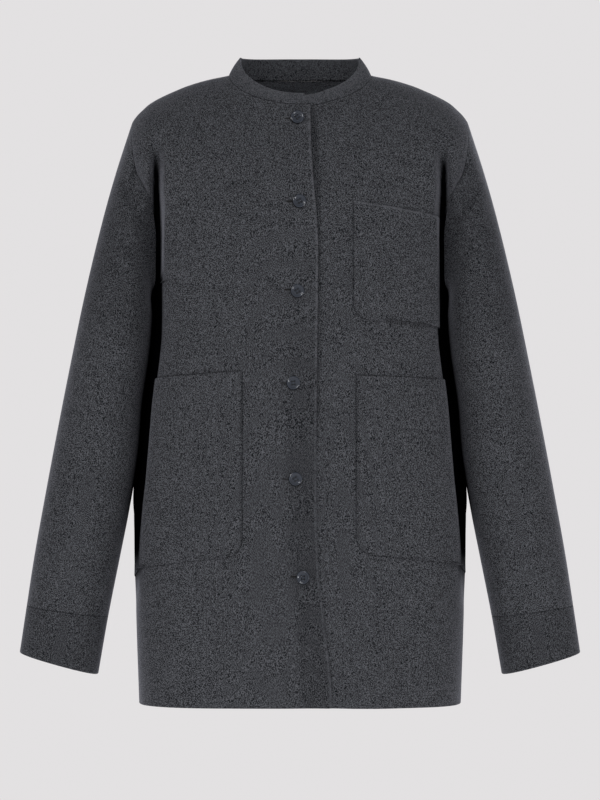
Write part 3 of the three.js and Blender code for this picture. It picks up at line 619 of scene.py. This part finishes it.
# Creases seen from the front: ends (x outwards, z), half width, depth
SLEEVE_CREASES = [
    (197, -78, 190, -118, 7, -2.4),
    (206, -130, 182, -172, 10, -4.2),
    (222, -175, 186, -220, 14, -2.6),
    (206, -150, 190, -196, 10, 1.6),
    (240, -325, 192, -352, 20, -2.4),
    (246, -296, 200, -312, 18, 2.0),
    (262, -440, 206, -470, 20, -2.4),
    (268, -405, 214, -425, 20, 1.6),
    (284, -555, 226, -578, 20, 1.8),
    (280, -600, 240, -612, 14, -1.4),
]


def sleeve_point(side, t, w):
    """Point of the sleeve at t down its length and w round it: from the outer line (w 0) over the
    front to the inner line (180) and the back, on a superellipse between the two lines."""
    in_x, out_x, in_z, out_z, depth, forward = (
        along(SLEEVE, "t", column, t) for column in ("in_x", "out_x", "in_z", "out_z", "depth", "forward")
    )
    across, ahead = np.cos(np.radians(w)), np.sin(np.radians(w))
    power = SLEEVE_ROUNDNESS
    size = (np.abs(across) ** power + np.abs(ahead) ** power) ** (1 / power)
    share = 0.5 + 0.5 * across / size
    x, y = side * mix(in_x, out_x, share), -forward - depth * ahead / size
    return np.stack(np.broadcast_arrays(x, y, mix(in_z, out_z, share)), axis=-1)


sleeve_turns = 180 * np.arange(2 * HIGH_ROWS) / HIGH_ROWS
for side, name, front in ((-1, "right", right_front), (1, "left", left_front)):
    back_edge = back[:, -1 if side > 0 else 0]
    armhole = np.concatenate([front[:LOW_ROWS - 1:-1, -1], back_edge[LOW_ROWS + 1:-1]])
    shift = armhole - sleeve_point(side, 0.0, sleeve_turns)
    t = (np.arange(SLEEVE_RINGS + 1) / SLEEVE_RINGS)[:, None] ** SLEEVE_CROWDING
    plain = sleeve_point(side, t, sleeve_turns[None, :])
    rings = plain + shift[None] * (1 - ease(t / SLEEVE_FADE))[..., None]
    hold = ease(t / 0.04) * ease((1 - t) / 0.04)
    rings = rings + outward(rings, True) * (fold_height(rings, SLEEVE_CREASES) * hold)[..., None]
    sewn = seams(rings.shape, first_row=0.25, last_row=0.55)
    z = rings[..., 2]
    # Painted shade along the sleeve's inner line where it lies against the body, and over the upper sleeve.
    inner = 1.2 * bell((sleeve_turns - 180) / 45) * ease((-230 - z) / 25) * ease((z + 560) / 70)
    deep = np.clip(np.maximum(ARM_SHADE * ease((-90 - z) / 60) * ease((z + 340) / 80), inner), 0, 1)
    piece = cloth_wall("cloth_sleeve_" + name, rings, CLOTH, wool, around=True, deep=deep, sewn=sewn)
    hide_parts("sleeve_" + name)

# ---------------------------------------------------------------------------------------------
# Cuffs: a separate band of the same wool sewn round the end of each sleeve, open at the hand.
# ---------------------------------------------------------------------------------------------
# The last value is painted shade over the whole cuff.
CUFF_END_T, CUFF_RINGS, CUFF_SHADE = 1.1, 26, 0.13
for side, name in ((-1, "right"), (1, "left")):
    t = mix(1, CUFF_END_T, np.arange(CUFF_RINGS + 1) / CUFF_RINGS)[:, None]
    rings = sleeve_point(side, t, sleeve_turns[None, :])
    sewn = seams(rings.shape, first_row=0.55)
    # Painted shade over the whole cuff, evenly.
    deep = np.full(rings.shape[:2], CUFF_SHADE)
    piece = cloth_wall("cloth_cuff_" + name, rings, CLOTH, wool, around=True, deep=deep, sewn=sewn)
    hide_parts("cuff_" + name)

# ---------------------------------------------------------------------------------------------
# Band collar: one standing strip sewn round the neckline, cut slanting at the end that laps over.
# ---------------------------------------------------------------------------------------------
BAND = {"top_half": 71, "top_front": 62, "top_back": 58, "front_z": -23.5, "side_z": 22.5, "back_z": 24.7}
BAND_SWELL, BAND_SLANT, BAND_SLANT_SHARE, BAND_ROWS = 1.2, 4.3, 1 / 3, 14
BAND_EDGE, BAND_EDGE_RATE = 1.2, 0.045
back_top = back[-1, BACK_SHOULDER_COLUMNS + 1:-BACK_SHOULDER_COLUMNS - 1]
seam = np.concatenate([
    right_front[-1, :FRONT_NECK_COLUMNS + 1], back_top, left_front[-1, FRONT_NECK_COLUMNS::-1],
])
turns = np.concatenate([
    mix(edge_turn(-lap_x(neckline_z(0))), -90, np.arange(FRONT_NECK_COLUMNS + 1) / FRONT_NECK_COLUMNS),
    mix(-90, -270, np.arange(1, 2 * BACK_NECK_HALF_COLUMNS) / (2 * BACK_NECK_HALF_COLUMNS)),
    mix(-270, -360 + edge_turn(UNDER_EDGE_X), np.arange(FRONT_NECK_COLUMNS + 1) / FRONT_NECK_COLUMNS),
])
share_along = np.arange(len(seam)) / FRONT_NECK_COLUMNS
slanted = np.radians(turns - BAND_SLANT * np.clip(1 - share_along / BAND_SLANT_SHARE, 0, 1))
ahead = np.cos(slanted)
rim_z = np.where(ahead > 0, mix(BAND["side_z"], BAND["front_z"], ahead),
                 mix(BAND["side_z"], BAND["back_z"], ahead ** 2))
rim_y = -ahead * np.where(ahead > 0, BAND["top_front"], BAND["top_back"])
rim = np.stack([BAND["top_half"] * np.sin(slanted), rim_y, rim_z], axis=-1)
up = (np.arange(BAND_ROWS + 1) / BAND_ROWS)[:, None, None]
level = seam * [1, 1, 0]
level /= np.linalg.norm(level, axis=1, keepdims=True)
band = mix(seam[None], rim[None], up) + BAND_SWELL * np.sin(np.pi * up) * level
under = np.arange(len(seam)) > len(seam) - 1 - FRONT_NECK_COLUMNS
band = band - outward(band) * up * (lap_set(seam) * under)[None, :, None]
# The band pales towards its top edge: loose fibres and a painted highlight where the rounded top catches the
# light.
below_top = np.linalg.norm(band - band[-1:], axis=-1)
pale = BAND_EDGE + below_top * BAND_EDGE_RATE
piece = cloth_wall("cloth_collar_band", band, CLOTH, wool, edge=pale, sewn=seams(band.shape, first_row=0.9))
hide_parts("collar_band")

# ---------------------------------------------------------------------------------------------
# Patch pockets: single squares of the same wool laid on the fronts and sewn round three sides,
# one on the left chest and one on each hip, with a rounded lower corner towards the middle.
# ---------------------------------------------------------------------------------------------
# The last value is painted shade along each pocket's bottom and inner side.
POCKET_CLOTH, POCKET_LIFT, POCKET_EDGE_PAINTED_SHADE = 2.0, 2.3, 0.28
POCKET_ROWS, POCKET_COLUMNS, CORNER_ROWS = 90, 70, 14
POCKETS = [
    {"name": "chest_pocket", "side": 1, "inner_x": 61.6, "outer_x": 163, "top": (-152, -170),
     "bottom": (-289, -297), "corner": 20, "flat": (0.115, 0.145)},
    {"name": "hip_pocket_right", "side": -1, "inner_x": 67, "outer_x": None, "top": (-348, -364),
     "bottom": (-562, -589), "corner": 20, "flat": (0.22, 0.225)},
    {"name": "hip_pocket_left", "side": 1, "inner_x": 65, "outer_x": None, "top": (-353, -362),
     "bottom": (-559, -585), "corner": 20, "flat": (0.22, 0.225)},
]
for pocket in POCKETS:
    across = (np.arange(POCKET_COLUMNS + 1) / POCKET_COLUMNS)[None, :]
    corner = pocket["corner"]
    bottom, top = mix(*pocket["bottom"], across), mix(*pocket["top"], across)
    rounded = corner * (1 - np.cos(np.linspace(0, np.pi / 2, CORNER_ROWS)))[:, None]
    above = np.linspace(0, 1, POCKET_ROWS - CORNER_ROWS + 2)[1:, None]
    rise = np.concatenate([rounded + 0 * across, mix(corner, top - bottom, above)])
    z = bottom + rise
    cut = corner - np.sqrt(corner ** 2 - np.clip(corner - rise, 0, None) ** 2)
    first = angle_at(pocket["inner_x"] + cut, z, FRONT_SQUARENESS)
    last = angle_at(pocket["outer_x"], z, FRONT_SQUARENESS) if pocket["outer_x"] else 87.5
    grid = trunk_point(pocket["side"] * mix(first, last, across), z)
    facing = outward(grid)
    into_seam = ease((1 - across) / 0.12) if pocket["outer_x"] is None else 1
    lift = fold_height(grid, FRONT_CREASES) + mix(0.2, POCKET_LIFT, into_seam)
    if pocket["side"] > 0:
        lift = lift - lap_set(grid)
    laid = grid + facing * lift[..., None]
    puffed = pocket["name"] == "chest_pocket"
    # The chest pocket pales along its top edge: loose fibres and a painted highlight.
    top_edge = np.linalg.norm(laid - laid[-1:], axis=-1) if puffed else None
    # Painted shade in the groove beside the arm.
    deep = arm_fold_painted_shade(laid)
    # Painted shade along the pocket's bottom and inner side.
    deep[0] = np.maximum(deep[0], POCKET_EDGE_PAINTED_SHADE)
    deep[:, 0] = np.maximum(deep[:, 0], POCKET_EDGE_PAINTED_SHADE)
    sewn = seams(laid.shape, first_row=0.75, first_column=0.6, last_row=0.1 if puffed else 0.6)
    name = "cloth_" + pocket["name"]
    piece = cloth_wall(name, laid, POCKET_CLOTH, wool, edge=top_edge, deep=deep, sewn=sewn, laid=True)
    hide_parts(pocket["name"])
    front = "front_left" if pocket["side"] > 0 else "front_right"

# ---------------------------------------------------------------------------------------------
# Buttonholes: a level slit behind each button, worked round with close dark stitches, running from the
# button towards the wearer's right, some pulled open and some lying shut. Each slit is a near-black lens set
# into the cloth: painted shadow in the slit.
# ---------------------------------------------------------------------------------------------
BUTTON_PLACES = {"x": [-2.9, -0.6, -2.9, -7.5, -5.2, 4], "z": [-54.5, -152, -255.5, -361.5, -472, -585]}
HOLE_FROM, HOLE_TO, HOLE_HALF = 1.0, -15.5, 1.25
HOLE_OPEN, HOLE_RISE = [0.35, 1, 1, 0.4, 0.4, 1], [0, 0, 1.6, 0, 0, 0.8]
STITCH_RADIUS, STITCH_SWELL, STITCH_LIFT = 0.32, 0.16, 0.15
STITCHES, STITCH_STEPS, STITCH_TURNS = 52, 420, 10
SHUT_SHARE, SLIT_DEPTH = 0.35, 0.4                     # height of a shut hole, half depth of the slit


def on_front(x, z):
    """Points of the right front's face near the middle, at distance x from it and height z, and the
    outward directions there from the points close by."""
    point, right, left, above, below = (
        trunk_point(angle_at(x + dx, z + dz, FRONT_SQUARENESS), z + dz)
        for dx, dz in ((0, 0), (1, 0), (-1, 0), (0, 1), (0, -1))
    )
    out = unit(np.cross(right - left, above - below))
    return point + out * fold_height(point, FRONT_CREASES)[..., None], out


def plain_material(name, colour, roughness, grain=900, depth=0.0002):
    """One colour, mottled a little by a fine noise that also gives the surface its grain, and going over to
    nearly black painted shade as the point value of painted shade rises to 1."""
    material = bpy.data.materials.new(name)
    material.use_nodes = True
    nodes, links = material.node_tree.nodes, material.node_tree.links
    shader = nodes["Principled BSDF"]
    shader.inputs["Roughness"].default_value = roughness
    place, noise = nodes.new("ShaderNodeTexCoord"), nodes.new("ShaderNodeTexNoise")
    noise.inputs["Scale"].default_value = grain
    noise.inputs["Detail"].default_value = 3
    links.new(place.outputs["Object"], noise.inputs["Vector"])
    tone = nodes.new("ShaderNodeMix")
    tone.data_type = "RGBA"
    tone.inputs["A"].default_value = [0.65 * value for value in colour] + [1]
    tone.inputs["B"].default_value = [1.35 * value for value in colour] + [1]
    links.new(noise.outputs["Fac"], tone.inputs["Factor"])
    links.new(tone.outputs["Result"], shader.inputs["Base Color"])
    # Painted shade: nearly black as the shade value rises.
    dark_where_deep(material, shader, (0.0008, 0.0008, 0.001, 1))
    bump = nodes.new("ShaderNodeBump")
    bump.inputs["Distance"].default_value = depth
    links.new(noise.outputs["Fac"], bump.inputs["Height"])
    links.new(bump.outputs["Normal"], shader.inputs["Normal"])
    return material


def closed_tube(path, out, side, radius, turns):
    """Tube round a closed path: at each point a circle in the plane of the outward and sideways
    directions there, with a radius of its own."""
    a = np.linspace(0, 2 * np.pi, turns, endpoint=False)[None, :, None]
    return path[:, None] + radius[:, None, None] * (np.cos(a) * out[:, None] + np.sin(a) * side[:, None])


def turned_form(profile_r, profile_h, turns):
    """Profile turned round the axis: one vertex at each end on the axis, rings between them."""
    a = np.linspace(0, 2 * np.pi, turns, endpoint=False)
    r, h = profile_r[1:-1, None], profile_h[1:-1, None]
    rings = np.stack(np.broadcast_arrays(r * np.cos(a), r * np.sin(a), h + 0 * a), axis=-1)
    ends = np.array([[0, 0, profile_h[0]], [0, 0, profile_h[-1]]])
    index = 2 + np.arange(rings.shape[0] * turns).reshape(rings.shape[0], turns)
    index = np.concatenate([index, index[:, :1]], axis=1)
    first = np.stack([np.zeros(turns, int), index[0, 1:], index[0, :-1]], axis=-1)
    last = np.stack([np.ones(turns, int), index[-1, :-1], index[-1, 1:]], axis=-1)
    return np.concatenate([ends, rings.reshape(-1, 3)]), [grid_faces(index), first, last]


buttonhole_thread = plain_material("buttonhole_thread", (0.022, 0.023, 0.028), 0.8)
# Near-black lens for each slit: painted shadow inside the slit.
slit_painted_shadow = plain_material("slit_painted_shadow", (0.0012, 0.0012, 0.0016), 0.95)
bow = np.linspace(0, np.pi, 13)
lens, lens_faces = turned_form(np.sin(bow), np.cos(bow), 48)
run = np.arange(STITCH_STEPS) / STITCH_STEPS * 2 * np.pi
squared = np.sign(np.cos(run)) * np.abs(np.cos(run)) ** 0.35
index = np.arange(STITCH_STEPS * STITCH_TURNS).reshape(STITCH_STEPS, STITCH_TURNS)
index = np.concatenate([index, index[:1]])
stitch_faces = grid_faces(np.concatenate([index, index[:, :1]], axis=1))
half_long, mid_hole = (HOLE_FROM - HOLE_TO) / 2, (HOLE_FROM + HOLE_TO) / 2
for number, (x, z) in enumerate(zip(*BUTTON_PLACES.values()), 1):
    z = z + HOLE_RISE[number - 1]
    half_wide = HOLE_HALF * mix(SHUT_SHARE, 1, HOLE_OPEN[number - 1])
    centre, out = on_front(np.float64(x + mid_hole), np.float64(z))
    along_x = unit(np.cross([0, 0, 1], out))
    axes = np.stack([along_x * half_long, np.cross(out, along_x) * half_wide, out * SLIT_DEPTH])
    # Painted shadow: a near-black lens in the slit.
    piece = mesh_piece(f"buttonhole_slit_shadow_{number}", centre + lens @ axes, lens_faces, slit_painted_shadow)
    path_x = x + mid_hole + (half_long - HOLE_HALF) * squared + HOLE_HALF * np.cos(run)
    path, out = on_front(path_x, z + half_wide * np.sin(run))
    side = unit(np.cross(np.roll(path, -1, axis=0) - np.roll(path, 1, axis=0), out))
    length = np.concatenate([[0], np.cumsum(np.linalg.norm(np.diff(path, axis=0), axis=1))])
    radius = STITCH_RADIUS * (1 + STITCH_SWELL * np.cos(length / length[-1] * 2 * np.pi * STITCHES))
    ring = closed_tube(path + out * STITCH_LIFT, out, side, radius, STITCH_TURNS)
    piece = mesh_piece(f"buttonhole_{number}", ring.reshape(-1, 3), [stitch_faces], buttonhole_thread)

# ---------------------------------------------------------------------------------------------
# Buttons: six round four-hole buttons of polished slate-blue resin, 16 mm across, with a raised
# rim round a shallow dish, each sewn on with dark thread across its holes.
# ---------------------------------------------------------------------------------------------
BUTTON_RADIUS, BUTTON_CLEAR = 8.0, 0.3
BUTTON_HOLE_OUT, BUTTON_HOLE_RADIUS, BUTTON_HOLE_DEPTH = 1.75, 1.1, 2.2
BUTTON_LEAN = [0, 0, 0, 3, 0, 22]                      # degrees about the upright, as sewn
BUTTON_TWIST = [38, 28, 35, 5, 32, 0]                  # degrees round its own axis, as sewn
SHADE_WAY = np.array([-0.5, 0, -0.87])                 # the way, lower left as seen from the front, where painted shade on a button's edge is darkest
BUTTON_LEVEL = 0.6                                     # how far the shank lets it hang upright
BUTTON_TURNS, BUTTON_FACE_RINGS, BUTTON_UNDER_RINGS = 120, 64, 40
STRAND_RADIUS, STRAND_TOP, STRAND_DIP, STRAND_STEPS, STRAND_TURNS = 0.22, 1.95, 1.4, 25, 8
# Profile from the middle of the face over the rim to the middle of the underside
BUTTON_PROFILE = {
    "s": [0, 0.3, 0.5, 0.56, 0.62, 0.68, 0.73, 0.78, 0.83, 0.88, 0.92, 1],
    "r": [0, 3.4, 5.3, 5.8, 6.3, 7.0, 7.6, 7.95, 8.0, 7.6, 6.6, 0],
    "h": [1.75, 1.78, 1.9, 2.2, 2.52, 2.6, 2.4, 1.9, 1.1, 0.3, 0, 0],
}
resin = plain_material("slate_resin", (0.036, 0.043, 0.058), 0.18, grain=160, depth=0.00002)
button_thread = plain_material("button_thread", (0.004, 0.004, 0.005), 0.8)
ring = np.concatenate([
    np.linspace(0, 0.5, BUTTON_FACE_RINGS), np.linspace(0.5, 1, BUTTON_UNDER_RINGS)[1:],
])
profile = [along(BUTTON_PROFILE, "s", column, ring) for column in ("r", "h")]
face, face_faces = turned_form(*profile, BUTTON_TURNS)
face_s = np.concatenate([[0, 1], np.repeat(ring[1:-1], BUTTON_TURNS)])
holes = BUTTON_HOLE_OUT * np.array([[1, 1], [-1, 1], [-1, -1], [1, -1]])
away = np.linalg.norm(face[:, None, :2] - holes[None], axis=-1).min(axis=1)
# The holes are sunk and get painted shade, nearly black.
in_hole = (1 - ease((away - BUTTON_HOLE_RADIUS + 0.15) / 0.3)) * (face[:, 2] > 1.2)
face[:, 2] -= BUTTON_HOLE_DEPTH * in_hole
from_axis = np.linalg.norm(face[:, :2], axis=1)
# The outer side wall of the button, which gets painted shade.
wall = ease((from_axis - 7.25) / 0.35) * (face_s > 0.7)

# Thread: one strand over the upper two holes and one over the lower two, arched between them and
# going down at its ends
step = np.linspace(-1, 1, STRAND_STEPS)
arch = STRAND_TOP + STRAND_RADIUS * (1 - step ** 2) - STRAND_DIP * ease((np.abs(step) - 0.72) / 0.28)
turn = np.linspace(0, 2 * np.pi, STRAND_TURNS, endpoint=False)
circle = STRAND_RADIUS * np.stack([0 * turn, np.cos(turn), np.sin(turn)], axis=-1)
index = np.arange(STRAND_STEPS * STRAND_TURNS).reshape(STRAND_STEPS, STRAND_TURNS)
strand_faces = [grid_faces(np.concatenate([index, index[:, :1]], axis=1)), index[:1, ::-1], index[-1:]]
strands = [
    np.stack([BUTTON_HOLE_OUT * step, np.full(STRAND_STEPS, level), arch], axis=-1)[:, None] + circle
    for level in (-BUTTON_HOLE_OUT, BUTTON_HOLE_OUT)
]
thread_points = np.concatenate(strands).reshape(-1, 3)
thread_faces = [part + offset for offset in (0, index.size) for part in strand_faces]
for number, (x, z, lean, twist) in enumerate(zip(*BUTTON_PLACES.values(), BUTTON_LEAN, BUTTON_TWIST), 1):
    place, out = on_front(np.float64(x), np.float64(z))
    hung = unit(out * [1, 1, 1 - BUTTON_LEVEL])
    right = unit(np.cross([0, 0, 1], hung))
    lean, twist = np.radians(lean), np.radians(twist)
    leant = hung * np.cos(lean) - right * np.sin(lean)
    leant_right = right * np.cos(lean) + hung * np.sin(lean)
    base = place + out * (BUTTON_CLEAR + BUTTON_RADIUS * np.linalg.norm(np.cross(leant, out)))
    twisted = leant_right * np.cos(twist) + np.cross(leant, leant_right) * np.sin(twist)
    axes = np.stack([twisted, np.cross(leant, twisted), leant])
    # Painted shade on the button's outer wall, darkest towards the lower left, and in its holes.
    towards_shade = (face[:, :2] @ (axes[:2] @ SHADE_WAY)) / (from_axis + 1e-9)
    deep = np.maximum(in_hole, np.clip(wall * (0.45 + 0.75 * towards_shade), 0, 1))
    piece = mesh_piece(f"button_resin_{number}", base + face @ axes, face_faces, resin, deep=deep)
    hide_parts(f"button_{number}")
    thread = mesh_piece(f"button_thread_{number}", base + thread_points @ axes, thread_faces,
                        button_thread)

# ---------------------------------------------------------------------------------------------
# Floor, soft studio light and camera: a pale floor well below the hem, a backdrop that looks pale
# but lights the coat less from above, broad lights before, behind and below, and two strips that
# only shine on the buttons. The camera looks level from straight ahead.
# ---------------------------------------------------------------------------------------------
BACKDROP = (0.767, 0.752, 0.759, 1)
CAMERA_AWAY, CAMERA_Z, LENS = 5.0, -0.381, 190.7
FLOOR_Z, FLOOR_RADII, FLOOR_TURNS = -1.42, (0.05, 5.0), 96
SIDE_GLOW, TOP_GLOW, FLOOR_GLOW = 0.62, 0.3, 0.3
world = bpy.data.worlds.new("studio")
bpy.context.scene.world = world
world.use_nodes = True
sky, sky_links = world.node_tree.nodes, world.node_tree.links
sky["Background"].inputs["Color"].default_value = BACKDROP
seen, way, part = (sky.new("ShaderNode" + kind) for kind in ("LightPath", "TexCoord", "SeparateXYZ"))
from_above = sky.new("ShaderNodeMapRange")
from_above.inputs["From Min"].default_value = -0.2
from_above.inputs["From Max"].default_value = 0.9
from_above.inputs["To Min"].default_value = SIDE_GLOW
from_above.inputs["To Max"].default_value = TOP_GLOW
strength = sky.new("ShaderNodeMix")
strength.inputs["B"].default_value = 1.0
sky_links.new(way.outputs["Generated"], part.inputs["Vector"])
sky_links.new(part.outputs["Z"], from_above.inputs["Value"])
sky_links.new(from_above.outputs["Result"], strength.inputs["A"])
sky_links.new(seen.outputs["Is Camera Ray"], strength.inputs["Factor"])
sky_links.new(strength.outputs["Result"], sky["Background"].inputs["Strength"])

pale = bpy.data.materials.new("pale_floor")
pale.use_nodes = True
floor_shader = pale.node_tree.nodes["Principled BSDF"]
floor_shader.inputs["Base Color"].default_value = (0.8, 0.79, 0.795, 1)
floor_shader.inputs["Roughness"].default_value = 0.9
floor_shader.inputs["Emission Color"].default_value = BACKDROP
floor_shader.inputs["Emission Strength"].default_value = FLOOR_GLOW
turns = np.linspace(0, 2 * np.pi, FLOOR_TURNS, endpoint=False)
radii = np.array(FLOOR_RADII)[:, None]
disc = np.stack([radii * np.cos(turns), radii * np.sin(turns), FLOOR_Z + 0 * radii * turns], axis=-1)
index = np.arange(2 * FLOOR_TURNS).reshape(2, FLOOR_TURNS)
index = np.concatenate([index, index[:, :1]], axis=1)
mesh = bpy.data.meshes.new("floor")
mesh.from_pydata(disc.reshape(-1, 3), [], grid_faces(index[::-1]).tolist())
mesh.materials.append(pale)
floor = bpy.data.objects.new("floor", mesh)
bpy.context.scene.collection.objects.link(floor)


def lamp(name, kind, place, towards, energy, **values):
    """Light of a kind at a place, looking along a direction, unseen by the camera."""
    light = bpy.data.lights.new(name, kind)
    light.energy = energy
    for key, value in values.items():
        setattr(light, key, value)
    stand = bpy.data.objects.new(name, light)
    stand.location = place
    stand.rotation_euler = Vector(towards).to_track_quat("-Z", "Y").to_euler()
    stand.visible_camera = False
    bpy.context.scene.collection.objects.link(stand)
    return stand


sun = lamp("front_softbox", "SUN", (0, 0, 0), (0.14, 1.0, -0.75), 0.70, angle=np.radians(14))
rear = lamp("rear_softbox", "SUN", (0, 0, 0), (-0.25, -1.0, -0.35), 0.7, angle=np.radians(20))
low = lamp("low_softbox", "AREA", (0, -1.5, -0.75), (0, 1, 0), 3.5, size=1.0)
fill = lamp("neck_fill", "AREA", (0, -0.015, -0.12), (0, 0.09, 0.11), 0.07, size=0.07)
for light in (sun, rear, low, fill):
    light.visible_glossy = False
for name, place in (("upper_strip", (-1.6, -2.6, 0.9)), ("lower_strip", (1.7, -2.6, -1.2))):
    strip = lamp(name, "AREA", place, Vector((0, 0, -0.3)) - Vector(place), 45.0, size=0.5)
    strip.visible_diffuse = False

lens = bpy.data.cameras.new("camera")
lens.sensor_width = 36
lens.lens = LENS
camera = bpy.data.objects.new("camera", lens)
camera.location = (0, -CAMERA_AWAY, CAMERA_Z)
camera.rotation_euler = (np.pi / 2, 0, 0)
bpy.context.scene.collection.objects.link(camera)
bpy.context.scene.camera = camera
bpy.context.scene.view_settings.view_transform = "Standard"
